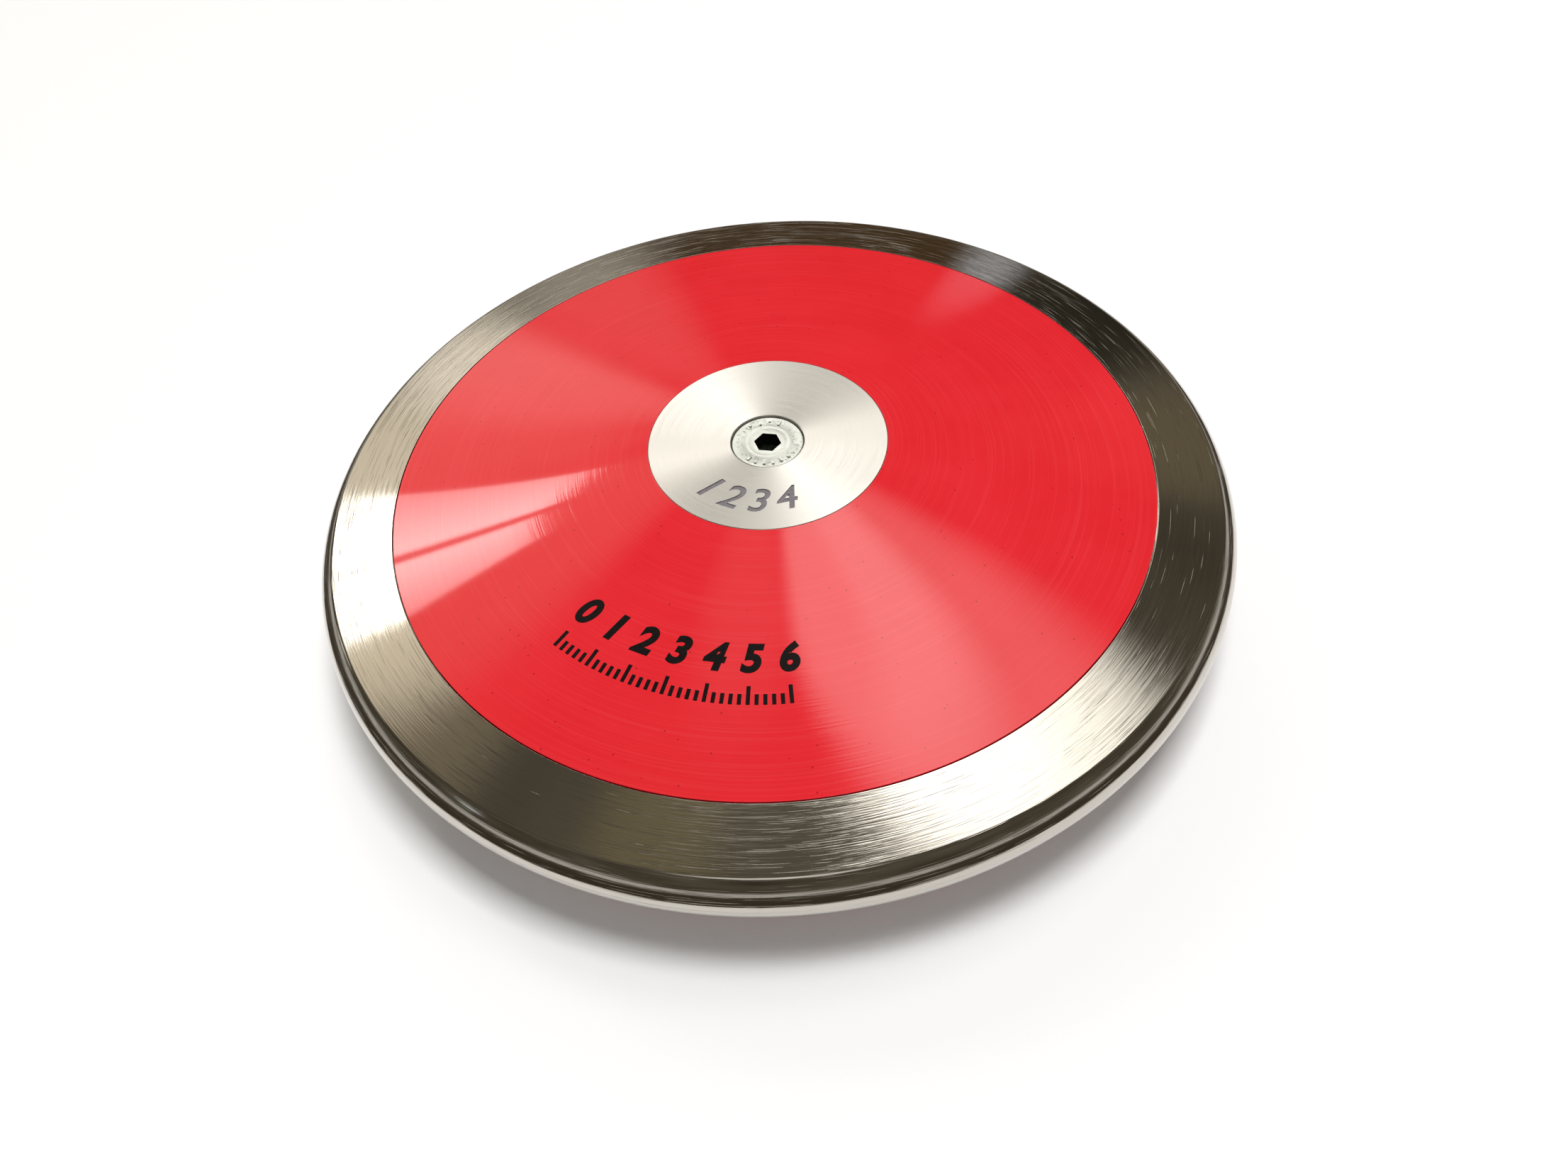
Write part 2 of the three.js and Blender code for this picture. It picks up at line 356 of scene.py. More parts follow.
# Tick marks on an arc round the axis, lying on the cone of a side plate or on a flat face
def tickTree():
    angles, sizes = ("Middle angle", "Sweep"), ("Foot radius", "Short", "Long", "Width", "Thickness")
    floats = (*angles, *sizes, "Face height", "Taper")
    add, entry = newTree("arc_of_ticks", {"Int": ("Ticks", "Long every"), "Float": floats})
    given = entry.outputs
    spots = add("GeometryNodeMeshLine", {"Count": given["Ticks"], "Offset": (0, 0, 0)})
    index = add("GeometryNodeInputIndex")
    last = add("ShaderNodeMath", {0: given["Ticks"], 1: 1}, operation="SUBTRACT")
    share = add("ShaderNodeMath", {0: index, 1: last}, operation="DIVIDE")
    centred = add("ShaderNodeMath", {0: share, 1: 0.5}, operation="SUBTRACT")
    turning = {0: centred, 1: given["Sweep"], 2: given["Middle angle"]}
    angle = add("ShaderNodeMath", turning, operation="MULTIPLY_ADD")
    count = add("ShaderNodeMath", {0: index, 1: given["Long every"]}, operation="MODULO")
    isLong = add("ShaderNodeMath", {0: count, 1: 0.5}, operation="LESS_THAN")
    lengths = {"Switch": isLong, "False": given["Short"], "True": given["Long"]}
    length = add("GeometryNodeSwitch", lengths, input_type="FLOAT")
    size = add("ShaderNodeCombineXYZ", {"X": length, "Y": given["Width"], "Z": given["Thickness"]})
    turn = add("ShaderNodeCombineXYZ", {"Z": angle})
    block = add("GeometryNodeMeshCube")
    middleOfTick = {0: length, 1: -0.5, 2: given["Foot radius"]}
    halfBack = add("ShaderNodeMath", middleOfTick, operation="MULTIPLY_ADD")
    spot = add("ShaderNodeCombineXYZ")
    for axis, operation in (("X", "COSINE"), ("Y", "SINE")):
        share = add("ShaderNodeMath", {0: angle}, operation=operation)
        setInputs(spot, {axis: add("ShaderNodeMath", {0: share, 1: halfBack}, operation="MULTIPLY")})
    placed = add("GeometryNodeSetPosition", {"Geometry": spots, "Position": spot})
    copies = {"Points": placed, "Instance": block.outputs["Mesh"], "Rotation": turn, "Scale": size}
    ticks = add("GeometryNodeInstanceOnPoints", copies)
    solid = add("GeometryNodeRealizeInstances", {"Geometry": ticks})
    position = add("GeometryNodeInputPosition")
    level = add("ShaderNodeVectorMath", {0: position, 1: (1, 1, 0)}, operation="MULTIPLY")
    radius = add("ShaderNodeVectorMath", {0: level}, operation="LENGTH")
    fall = {0: radius.outputs["Value"], 1: given["Taper"]}
    drop = add("ShaderNodeMath", fall, operation="MULTIPLY")
    height = add("ShaderNodeMath", {0: given["Face height"], 1: drop}, operation="SUBTRACT")
    rise = add("ShaderNodeCombineXYZ", {"Z": height})
    lying = add("GeometryNodeSetPosition", {"Geometry": solid, "Offset": rise})
    return endTree(add, entry, lying)


turnedPieces = turnedTree()
ribbedMouldings = ribbedTree()
ticksOnArc = tickTree()
print("trees built")


def turned(name, points, steps, material, closed=True):
    # Turns an outline, points of radius and height from the middle of the discus in mm, round the axis
    mesh = bpy.data.meshes.new(name)
    edges = [(i, i + 1) for i in range(len(points) - 1)]
    if closed:
        edges.append((len(points) - 1, 0))
    mesh.from_pydata([(x * mm, 0, z * mm) for x, z in points], edges, [])
    return runTree(name, turnedPieces, mesh, {"Steps": steps, "Material": material})


def hexColour(code):
    # sRGB hex to linear
    parts = [int(code[i:i + 2], 16) / 255 for i in (1, 3, 5)]
    return [p / 12.92 if p <= 0.04045 else ((p + 0.055) / 1.055) ** 2.4 for p in parts] + [1]


def newMaterial(name, inputs):
    # The inputs are those that are the same all over
    material = bpy.data.materials.new(name)
    material.use_nodes = True
    shader = material.node_tree.nodes["Principled BSDF"]
    setInputs(shader, inputs)
    return material, partial(addNode, material.node_tree), shader


noiseLow, noiseHigh = 0.3, 0.7  # nearly all of a noise texture's values lie between these


def turningMarks(add, marks, acrossAttribute=None):
    # Noise drawn out round the axis: its cells have this length at this radius, and this spacing across
    coordinates = add("ShaderNodeTexCoord")
    sideways = {0: coordinates.outputs["Object"], 1: (1, 1, 0)}
    flat = add("ShaderNodeVectorMath", sideways, operation="MULTIPLY")
    outwards = add("ShaderNodeVectorMath", {0: flat}, operation="NORMALIZE")
    stretch = marks["radius"] / marks["length"]
    around = add("ShaderNodeVectorMath", {0: outwards, "Scale": stretch}, operation="SCALE")
    if acrossAttribute:
        distance = add("ShaderNodeAttribute", attribute_name=acrossAttribute).outputs["Fac"]
    else:
        distance = add("ShaderNodeVectorMath", {0: flat}, operation="LENGTH").outputs["Value"]
    perMetre = 1 / (marks["spacing"] * mm)
    across = add("ShaderNodeMath", {0: distance, 1: perMetre}, operation="MULTIPLY")
    depth = add("ShaderNodeCombineXYZ", {"Z": across})
    cells = add("ShaderNodeVectorMath", {0: around, 1: depth}, operation="ADD")
    noise = {"Vector": cells, "Scale": 1, "Detail": marks["detail"], "Roughness": marks["grain"]}
    return add("ShaderNodeTexNoise", noise).outputs["Fac"]


def mottling(add, mottle):
    # Noise in all directions, with cells this many mm across
    coordinates = add("ShaderNodeTexCoord")
    noise = {"Scale": 1 / (mottle["cell"] * mm), "Detail": mottle["detail"], "Roughness": mottle["grain"]}
    noise["Vector"] = coordinates.outputs["Object"]
    return add("ShaderNodeTexNoise", noise).outputs["Fac"]


def twoTones(add, noise, colours):
    # The Mix node's colour sockets, 6 and 7, share their names with its number sockets
    share = add("ShaderNodeMapRange", {"Value": noise, "From Min": noiseLow, "From Max": noiseHigh})
    mixed = {"Factor": share, 6: hexColour(colours[0]), 7: hexColour(colours[1])}
    return add("ShaderNodeMix", mixed, data_type="RGBA").outputs[2]


def unevenGloss(add, noise, roughness):
    # Roughness from the first value to the second, following the noise
    least, most = roughness
    limits = {"From Min": noiseLow, "From Max": noiseHigh, "To Min": least, "To Max": most}
    return add("ShaderNodeMapRange", {"Value": noise, **limits})


def turnedSheen(add, shader, strength):
    # Stretches highlights across the turning marks, which run round the axis
    coordinates = add("ShaderNodeTexCoord")
    vectors = {0: (0, 0, 1), 1: coordinates.outputs["Object"]}
    crossed = add("ShaderNodeVectorMath", vectors, operation="CROSS_PRODUCT")
    tangent = add("ShaderNodeVectorMath", {0: crossed}, operation="NORMALIZE")
    sheen = {"Anisotropic": strength, "Anisotropic Rotation": 0.25, "Tangent": tangent}  # a quarter turn
    setInputs(shader, sheen)


# Polished turned steel: mirror-like, with fine marks round the axis that break up the edges of reflections
steelFinish = {
    "colour": "#c9c4bb",
    "roughness": (0.04, 0.13),
    "sheen": 0.5,
    # a length holds at "radius"; the finest marks are drawn as coarse as they need to be to show
    "marks": {"length": 14, "spacing": 0.3, "radius": 70, "detail": 3, "grain": 0.6},
    "marksDepth": 0.014,
    "waves": {"length": 45, "spacing": 2.6, "radius": 70, "detail": 1, "grain": 0.5},
    "wavesDepth": 0.012,
    "scratches": {"length": 12, "spacing": 0.15, "radius": 70, "detail": 1, "grain": 0.5},
    "scratchesDepth": 0.006,
    "scratchesRange": (0.63, 0.72),  # the noise value where a scratch begins, and where it is deepest
}


def turnedSteel():
    even = {"Base Color": hexColour(steelFinish["colour"]), "Metallic": 1}
    material, add, shader = newMaterial("polished_turned_steel", even)
    marks = turningMarks(add, steelFinish["marks"], acrossAttribute="along")
    waves = turningMarks(add, steelFinish["waves"], acrossAttribute="along")
    scratches = turningMarks(add, steelFinish["scratches"], acrossAttribute="along")
    begin, full = steelFinish["scratchesRange"]
    deepest = add("ShaderNodeMapRange", {"Value": scratches, "From Min": begin, "From Max": full})
    wavy = add("ShaderNodeBump", {"Distance": steelFinish["wavesDepth"] * mm, "Height": waves})
    fine = {"Distance": steelFinish["marksDepth"] * mm, "Height": marks, "Normal": wavy}
    marked = add("ShaderNodeBump", fine)
    cuts = {"Distance": steelFinish["scratchesDepth"] * mm, "Height": deepest, "Normal": marked}
    scratched = add("ShaderNodeBump", cuts, invert=True)
    turnedSheen(add, shader, steelFinish["sheen"])
    gloss = unevenGloss(add, marks, steelFinish["roughness"])
    setInputs(shader, {"Roughness": gloss, "Normal": scratched})
    return material


# Moulded ABS, turned and polished: strong red with a clear gloss, faint rings round the axis lightened by a
# painted sheen, and a few pores
absFinish = {
    "colours": ("#e3262f", "#e92c36"),
    "clouds": {"cell": 18, "detail": 4, "grain": 0.6},
    "roughness": 0.055,
    "ior": 1.5,
    "sheen": 0.6,
    "rings": {"length": 30, "spacing": 0.28, "radius": 45, "detail": 2, "grain": 0.5},
    "ringDepth": 0.0045,
    "ringSheenColour": "#ee5058",
    "ringSheenRange": (0.5, 0.7),  # the noise values where the painted sheen on a ring begins and where it is strongest
    "ringSheenStrength": 0.18,
    "poresApart": 2.5,
    "poreShares": (0.03, 0.08),  # of that distance: the middle of a pore, and its edge
    "poreColour": "#a8161c",
}


def mouldedAbs():
    even = {"Roughness": absFinish["roughness"], "IOR": absFinish["ior"]}
    material, add, shader = newMaterial("glossy_red_abs", even)
    rings = turningMarks(add, absFinish["rings"])
    begin, full = absFinish["ringSheenRange"]
    toned = {"Value": rings, "From Min": begin, "From Max": full, "To Max": absFinish["ringSheenStrength"]}
    ringSheenShare = add("ShaderNodeMapRange", toned)
    coordinates = add("ShaderNodeTexCoord")
    pits = {"Vector": coordinates.outputs["Object"], "Scale": 1 / (absFinish["poresApart"] * mm)}
    pores = add("ShaderNodeTexVoronoi", pits)
    inside, outside = absFinish["poreShares"]
    nearness = {"Value": pores.outputs["Distance"], "From Min": inside, "From Max": outside}
    poreShare = add("ShaderNodeMapRange", {**nearness, "To Min": 1, "To Max": 0})
    base = twoTones(add, mottling(add, absFinish["clouds"]), absFinish["colours"])
    ringSheenTone, poreTone = hexColour(absFinish["ringSheenColour"]), hexColour(absFinish["poreColour"])
    # the rings lightened towards pink: a painted sheen
    ringSheened = add("ShaderNodeMix", {"Factor": ringSheenShare, 6: base, 7: ringSheenTone}, data_type="RGBA")
    underPores = {"Factor": poreShare, 6: ringSheened.outputs[2], 7: poreTone}
    pitted = add("ShaderNodeMix", underPores, data_type="RGBA")
    depth = absFinish["ringDepth"] * mm
    grooved = add("ShaderNodeBump", {"Distance": depth, "Height": rings})
    turnedSheen(add, shader, absFinish["sheen"])
    setInputs(shader, {"Base Color": pitted.outputs[2], "Normal": grooved})
    return material


# Turned aluminium: bright, with fans of light across the fine rings
aluminiumFinish = {
    "colours": ("#e3e1dc", "#efede8"),
    "roughness": (0.31, 0.38),
    "sheen": 0.9,
    "rings": {"length": 14, "spacing": 0.16, "radius": 14, "detail": 2, "grain": 0.5},
    "ringDepth": 0.0012,
}


def turnedAluminium():
    material, add, shader = newMaterial("turned_aluminium", {"Metallic": 1})
    rings = turningMarks(add, aluminiumFinish["rings"])
    depth = aluminiumFinish["ringDepth"] * mm
    grooved = add("ShaderNodeBump", {"Distance": depth, "Height": rings})
    turnedSheen(add, shader, aluminiumFinish["sheen"])
    tones = twoTones(add, rings, aluminiumFinish["colours"])
    gloss = unevenGloss(add, rings, aluminiumFinish["roughness"])
    setInputs(shader, {"Base Color": tones, "Roughness": gloss, "Normal": grooved})
    return material


# Zinc-plated steel: pale grey, slightly mottled, with dirt and painted shade in a band round the marks
zincFinish = {
    "colours": ("#d3d8d3", "#f1f4ee"),
    "roughness": (0.28, 0.45),
    "mottle": {"cell": 1.2, "detail": 5, "grain": 0.65},
    "depth": 0.02,
    "dirtAndShadeNoise": {"cell": 0.55, "detail": 3, "grain": 0.6},
    "dirtAndShadeColour": "#7d847c",
    "dirtAndShadeRadius": 4.9,  # middle of the band, and how far it reaches to each side
    "dirtAndShadeReach": 0.8,
    "dirtAndShadeRange": (0.53, 0.67),  # the noise values where the dirt and painted shade begin, and where they are thickest
    "dirtAndShadeStrength": 0.7,
}


def zincPlated():
    material, add, shader = newMaterial("zinc_plated_steel", {"Metallic": 1})
    mottle = mottling(add, zincFinish["mottle"])
    coordinates = add("ShaderNodeTexCoord")
    sideways = {0: coordinates.outputs["Object"], 1: (1, 1, 0)}
    flat = add("ShaderNodeVectorMath", sideways, operation="MULTIPLY")
    distance = add("ShaderNodeVectorMath", {0: flat}, operation="LENGTH")
    # A band round the raised marks, darkened in patches: dirt, with painted shade at the marks' feet
    radius, reach = zincFinish["dirtAndShadeRadius"] * mm, zincFinish["dirtAndShadeReach"] * mm
    nearBand = {0: distance.outputs["Value"], 1: radius, 2: reach}
    band = add("ShaderNodeMath", nearBand, operation="COMPARE")
    dirtAndShadeNoise = mottling(add, zincFinish["dirtAndShadeNoise"])
    begin, full = zincFinish["dirtAndShadeRange"]
    dirtAndShadeAmount = {"Value": dirtAndShadeNoise, "From Min": begin, "From Max": full, "To Max": zincFinish["dirtAndShadeStrength"]}
    dirtAndShadeShare = add("ShaderNodeMapRange", dirtAndShadeAmount)
    dirtAndShadeHere = add("ShaderNodeMath", {0: band, 1: dirtAndShadeShare}, operation="MULTIPLY")
    clean = twoTones(add, mottle, zincFinish["colours"])
    depth = zincFinish["depth"] * mm
    grainy = add("ShaderNodeBump", {"Distance": depth, "Height": mottle})
    dirtAndShadeTone = hexColour(zincFinish["dirtAndShadeColour"])
    dirtiedAndShaded = add("ShaderNodeMix", {"Factor": dirtAndShadeHere, 6: clean, 7: dirtAndShadeTone}, data_type="RGBA")
    gloss = unevenGloss(add, mottle, zincFinish["roughness"])
    setInputs(shader, {"Base Color": dirtiedAndShaded.outputs[2], "Roughness": gloss, "Normal": grainy})
    return material


# Finishes with no direction: two tones, and mostly a gloss too, that follow one noise
plainFinishes = {
    # on the floor of the engraving: dull grey, so that the numbers can be read
    "etched_aluminium": {
        "colours": ("#858188", "#9c989d"),
        "mottle": {"cell": 0.5, "detail": 3, "grain": 0.6},
        "even": {"Roughness": 0.55, "Metallic": 0.6},
    },
    # down in the sockets: nearly black, from oil and painted shade
    "oiled_and_shaded_steel": {
        "colours": ("#1c201b", "#3a3f36"),
        "mottle": {"cell": 0.8, "detail": 3, "grain": 0.6},
        "roughness": (0.3, 0.5),
        "even": {"Metallic": 0.7},
    },
    # inside: dull and dark, with a grey scale
    "mill_finished_steel": {
        "colours": ("#8c8a86", "#b3b1ac"),
        "mottle": {"cell": 3, "detail": 6, "grain": 0.6},
        "roughness": (0.4, 0.6),
        "even": {"Metallic": 1},
    },
    # matt black, with a slightly uneven film
    "screen_printed_ink": {
        "colours": ("#0c0909", "#181212"),
        "mottle": {"cell": 0.6, "detail": 4, "grain": 0.6},
        "roughness": (0.35, 0.5),
        "even": {"Specular IOR Level": 0.15},
    },
}


def plainFinish(name):
    finish = plainFinishes[name]
    material, add, shader = newMaterial(name, finish["even"])
    mottle = mottling(add, finish["mottle"])
    setInputs(shader, {"Base Color": twoTones(add, mottle, finish["colours"])})
    if "roughness" in finish:
        setInputs(shader, {"Roughness": unevenGloss(add, mottle, finish["roughness"])})
    return material


steelMaterial = turnedSteel()
absMaterial = mouldedAbs()
aluminiumMaterial = turnedAluminium()
etchedMaterial = plainFinish("etched_aluminium")
zincMaterial = zincPlated()
oiledAndShadedMaterial = plainFinish("oiled_and_shaded_steel")
millMaterial = plainFinish("mill_finished_steel")
inkMaterial = plainFinish("screen_printed_ink")
print("materials built")


# Rim: the upper half of its section, then the same points mirrored below the middle plane
def rimOutline():
    shoulderRadius = seamRadius + rim["shoulderWall"]
    channelRadius = outerRadius - rim["edgeWall"]
    ledgeUnderside = seatHeight - rim["ledgeThickness"]
    edge = []
    for step in range(rim["edgeSteps"]):
        angle = creaseAngle * step / rim["edgeSteps"]
        radius = edgeCentre + rim["edgeRadius"] * cos(angle)
        edge.append((radius, rim["edgeRadius"] * sin(angle), 0))
    bevel = [
        (creaseRadius, creaseHeight, rim["creaseRound"]),
        (seamRadius, faceHeight(seamRadius), rim["seamRound"]),
        (seamRadius, seatHeight, 0),
        (ledgeRadius, seatHeight, 0),
        (ledgeRadius, ledgeUnderside, 0),
        (shoulderRadius, ledgeUnderside, 0),
        (shoulderRadius, faceHeight(shoulderRadius) - rim["wall"], 0),
        (channelRadius, faceHeight(channelRadius) - rim["wall"], 0),
    ]
    upper = edge[1:] + bevel
    lower = [(radius, -height, fillet) for radius, height, fillet in reversed(upper)]
    return filleted([edge[0]] + upper + lower)


rimPiece = turned("steel_rim", rimOutline(), rim["steps"], steelMaterial)
place(rimPiece, "rim_steel", "rim")
print("rim", len(rimPiece.data.polygons), "faces")


# Side plate: a conical shell with a recess, a boss, a spigot and a net of ribs underneath
def sidePlate():
    bossRadius = cornerRadius(plate["pocketWidth"]) + plate["bossWall"]
    recessRadius = centrePlateRadius + plate["recessGap"]
    recessOuter = recessRadius + plate["recessWall"]
    floorUnderside = recessFloor - plate["floorThickness"]
    spigotOuter = ledgeRadius - plate["spigotGap"]
    spigotInner = spigotOuter - plate["spigotWall"]
    spigotEnd = seatHeight - plate["spigotDepth"]
    ribSlope = (bossEnd - spigotEnd) / (spigotInner - bossRadius)

    def ribHeight(radius):
        return bossEnd + plate["ribSetback"] - (radius - bossRadius) * ribSlope

    def innerHeight(radius):
        return faceHeight(radius) - plate["wall"]

    ringRibs = []
    for ring in range(1, plate["ringRibs"] + 1):
        centre = recessOuter + (spigotInner - recessOuter) * ring / (plate["ringRibs"] + 1)
        inside, outside = centre - plate["ribWall"] / 2, centre + plate["ribWall"] / 2
        ringRibs += [
            (inside, innerHeight(inside), 0),
            (inside, ribHeight(centre), 0),
            (outside, ribHeight(centre), 0),
            (outside, innerHeight(outside), 0),
        ]
    bore = cornerRadius(plate["pocketWidth"]) / 2
    section = [
        (bore, bossEnd, 0),
        (bossRadius, bossEnd, 0),
        (bossRadius, floorUnderside, 0),
        (recessOuter, floorUnderside, 0),
        (recessOuter, innerHeight(recessOuter), 0),
        *ringRibs,
        (spigotInner, innerHeight(spigotInner), 0),
        (spigotInner, spigotEnd, 0),
        (spigotOuter, spigotEnd, 0),
        (spigotOuter, seatHeight, 0),
        (plateRadius, seatHeight, 0),
        (plateRadius, faceHeight(plateRadius), plate["edgeRound"]),
        (recessRadius, faceHeight(recessRadius), plate["recessRound"]),
        (recessRadius, recessFloor, 0),
        (bore, recessFloor, 0),
    ]
    shell = turned("plate_shell", filleted(section), plate["steps"], absMaterial)
    # one upright web, whose top edge runs inside the floor and the shell
    webInner = bossRadius - plate["ribWall"] / 2
    webOuter = spigotInner + plate["spigotWall"] / 2
    webStep = recessOuter - plate["recessWall"] / 2
    webOutline = [
        (webInner, ribHeight(webInner)),
        (webOuter, ribHeight(webOuter)),
        (webOuter, faceHeight(webOuter) - plate["wall"] / 2),
        (webStep, faceHeight(webStep) - plate["wall"] / 2),
        (webStep, recessFloor - plate["floorThickness"] / 2),
        (webInner, recessFloor - plate["floorThickness"] / 2),
    ]
    nearSide, farSide = -plate["ribWall"] / 2, plate["ribWall"] / 2
    rib = prism("rib", [(x, nearSide, z) for x, z in webOutline], [(x, farSide, z) for x, z in webOutline])
    ribbed = runTree(
        "red_side_plate_top",
        ribbedMouldings,
        shell.data,
        {"Rib": rib, "Ribs": plate["radialRibs"], "Material": absMaterial},
    )
    bpy.data.objects.remove(shell)
    bpy.data.objects.remove(rib)
    pocket = hexagonBar("pocket", plate["pocketWidth"], bossEnd - overrun, recessFloor + overrun)
    combine(ribbed, pocket, "DIFFERENCE")
    return ribbed


platePiece = sidePlate()
lowerPlate = copyOf(platePiece, "red_side_plate_bottom")
place(platePiece, "red_abs", "top_side_plate")
place(lowerPlate, "red_abs", "bottom_side_plate", turnedOver=True)
print("side plates", len(platePiece.data.polygons), "faces each")


# Numbers: each one is a text made a mesh, then turned to its place on an arc round the axis
outlineSteps = 6  # in each curve of a figure


def numbersOnArc(name, texts, setting, heightAt):
    shell = bmesh.new()
    for index, body in enumerate(texts):
        text = bpy.data.curves.new("number", "FONT")
        text.body = body
        text.size = setting["size"] * mm
        text.align_x = "CENTER"
        text.shear = setting["slant"]
        text.offset = setting["bold"] * mm
        text.extrude = setting["thickness"] / 2 * mm
        text.resolution_u = outlineSteps
        carrier = addObject("number", text)
        mesh = finalMesh(carrier)
        share = index / (len(texts) - 1) - 0.5
        azimuth = radians(setting["azimuth"] + share * setting["sweep"])
        footing = Matrix.Rotation(azimuth + pi / 2, 4, "Z")
        out = Vector((cos(azimuth), sin(azimuth), 0)) * setting["footRadius"] * mm
        mesh.transform(Matrix.Translation(out) @ footing)
        shell.from_mesh(mesh)
        bpy.data.objects.remove(carrier)
        bpy.data.meshes.remove(mesh)
    bmesh.ops.remove_doubles(shell, verts=shell.verts, dist=doublesWithin)
    for vert in shell.verts:
        vert.co.z += heightAt(vert.co.xy.length / mm) * mm
    return objectFrom(name, shell)


# Centre plate: turned aluminium with a countersunk hole, and engraved dial numbers on the upper side
centrePlate = {
    "chamfer": 0.1,
    "chamferRound": 0.03,
    "mouthGap": 0.14,
    "coneGap": 0.15,
    "holeRadius": 3.3,
    "headLand": 0.7,
    "mouthRound": 0.15,
    "steps": 360,
}
engraving = {
    "size": 7.0,
    "slant": 0.2,
    "bold": 0.1,
    "thickness": 0.8,
    "depth": 0.14,
    "footRadius": 16.0,
    "azimuth": -110,
    "sweep": 56,
}
mouthRadius = headRadius + centrePlate["mouthGap"]


def centrePlateOutline():
    holeRadius = centrePlate["holeRadius"]
    coneTop = headTop - centrePlate["headLand"] + centrePlate["mouthGap"] - centrePlate["coneGap"]
    coneBottom = coneTop - (mouthRadius - holeRadius)
    chamfer = centrePlate["chamfer"]
    return filleted([
        (holeRadius, recessFloor, 0),
        (centrePlateRadius, recessFloor, 0),
        (centrePlateRadius, halfThickness - chamfer, centrePlate["chamferRound"]),
        (centrePlateRadius - chamfer, halfThickness, centrePlate["chamferRound"]),
        (mouthRadius, halfThickness, centrePlate["mouthRound"]),
        (mouthRadius, coneTop, 0),
        (holeRadius, coneBottom, 0),
    ])


hubPiece = turned("aluminium_centre_plate_top", centrePlateOutline(), centrePlate["steps"], aluminiumMaterial)
lowerHub = copyOf(hubPiece, "aluminium_centre_plate_bottom")
cutters = numbersOnArc(
    "engraved_numbers",
    ["1", "2", "3", "4"],
    engraving,
    lambda radius: halfThickness - engraving["depth"] + engraving["thickness"] / 2,
)
combine(hubPiece, cutters, "DIFFERENCE")
engravedRing = (mouthRadius + clearance, centrePlateRadius - clearance)
finishCut(hubPiece, etchedMaterial, engravedRing, (recessFloor + clearance, halfThickness - justBelow))
place(hubPiece, "turned_aluminium", "top_centre_plate")
place(lowerHub, "turned_aluminium", "bottom_centre_plate", turnedOver=True)
print("centre plates", len(hubPiece.data.polygons), "faces with the engraving")


# Screws: countersunk, with a hexagon socket, a faint raised ring round it and raised marks
screw = {
    "shankRadius": 3,
    "headLand": 0.7,
    "headRound": 0.2,
    "tipChamfer": 0.8,
    "socketAcrossFlats": 4,
    "socketDepth": 2.6,
    "socketTurn": -13.5,
    "ringRadius": 3.5,
    "ringHeight": 0.1,
    "ringHalfWidth": 0.4,
    "steps": 180,
}
# The raised marks stand in groups: how many, the azimuth of the middle and the sweep
headMarks = {
    "groups": ((4, 92, 60), (6, -92, 84)),
    "longEvery": 2,
    "footRadius": 5.25,
    "short": 0.5,
    "long": 1.0,
    "width": 0.42,
    "thickness": 0.32,  # half of it below the face
}


def ticksAround(name, setting, height, slope, material):
    # Tick marks half sunk in a face that would have this height on the axis and falls outwards by this slope
    return runTree(name, ticksOnArc, bpy.data.meshes.new("empty"), {
        "Ticks": setting["ticks"],
        "Long every": setting["longEvery"],
        "Middle angle": radians(setting["azimuth"]),
        "Sweep": radians(setting["sweep"]),
        "Foot radius": setting["footRadius"] * mm,
        "Short": setting["short"] * mm,
        "Long": setting["long"] * mm,
        "Width": setting["width"] * mm,
        "Thickness": setting["thickness"] * mm,
        "Face height": height * mm,
        "Taper": slope,
        "Material": material,
    })


def screwOutline():
    coneTop = headTop - screw["headLand"]
    coneDepth = headRadius - screw["shankRadius"]
    ring, halfWidth = screw["ringRadius"], screw["ringHalfWidth"]
    return filleted([
        (0, screwTip, 0),
        (screw["shankRadius"] - screw["tipChamfer"], screwTip, 0),
        (screw["shankRadius"], screwTip + screw["tipChamfer"], 0),
        (screw["shankRadius"], coneTop - coneDepth, 0),
        (headRadius, coneTop, 0),
        (headRadius, headTop, screw["headRound"]),
        (ring + halfWidth, headTop, 0),
        (ring, headTop + screw["ringHeight"], 0),
        (ring - halfWidth, headTop, 0),
        (0, headTop, 0),
    ])


def screwWithSocket():
    blank = turned("countersunk_screw_top", screwOutline(), screw["steps"], zincMaterial, closed=False)
    socket = hexagonBar(
        "socket",
        screw["socketAcrossFlats"],
        headTop - screw["socketDepth"],
        headTop + overrun,
        radians(screw["socketTurn"]),
    )
    combine(blank, socket, "DIFFERENCE")
    for ticks, azimuth, sweep in headMarks["groups"]:
        group = {**headMarks, "ticks": ticks, "azimuth": azimuth, "sweep": sweep}
        combine(blank, ticksAround("head_marks", group, headTop, 0.0, zincMaterial), "UNION")
    socketRadii = (0, cornerRadius(screw["socketAcrossFlats"]))
    # The socket's faces get the nearly black finish: oil, with painted shade
    finishCut(blank, oiledAndShadedMaterial, socketRadii, (screwTip + clearance, headTop - justBelow))
    return blank


screwPiece = screwWithSocket()
lowerScrew = copyOf(screwPiece, "countersunk_screw_bottom")
place(screwPiece, "zinc_plated_steel", "top_screw")
place(lowerScrew, "zinc_plated_steel", "bottom_screw", turnedOver=True)
print("screws", len(screwPiece.data.polygons), "faces each")

# Inside, the CAD pieces stay as they are and only get their finish.
for node in ("core", "trim_washer_1", "trim_washer_2", "trim_washer_3"):
    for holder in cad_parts[node].material_slots:
        holder.material = millMaterial

